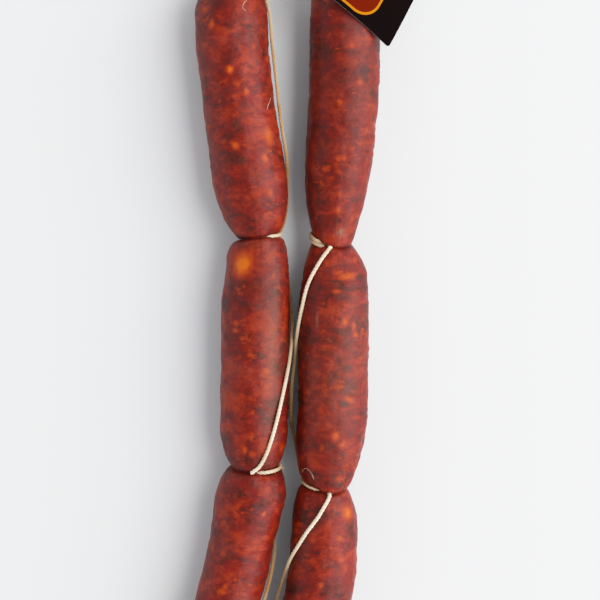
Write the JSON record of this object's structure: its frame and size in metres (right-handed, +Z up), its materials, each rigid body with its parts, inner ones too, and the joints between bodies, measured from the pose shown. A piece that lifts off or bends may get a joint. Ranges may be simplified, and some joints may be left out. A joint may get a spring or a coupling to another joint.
{
  "type": "string of sausage links",
  "caption": "Two strands of cured red-brown sausage links in natural casing, tied with cotton twine, with a plain card tag, lying flat",
  "frame": {"origin": "middle of the whole in plan, on the surface that the links lie on", "axes": "+X across the two strands towards the one with the tag, +Y along the strands towards the tag, +Z up"},
  "size_m": [0.1147, 0.375, 0.0405],
  "materials": {
    "casing": "satin natural sausage casing over red-brown minced meat with orange fat",
    "twine": "twisted cream cotton twine",
    "tag": "smooth black card"
  },
  "bodies": {
    "root": {"links_left": "casing", "links_right": "casing", "twine_left": "twine", "twine_right": "twine", "twine_hanger": "twine", "tag": "tag"}
  },
  "joints": []
}
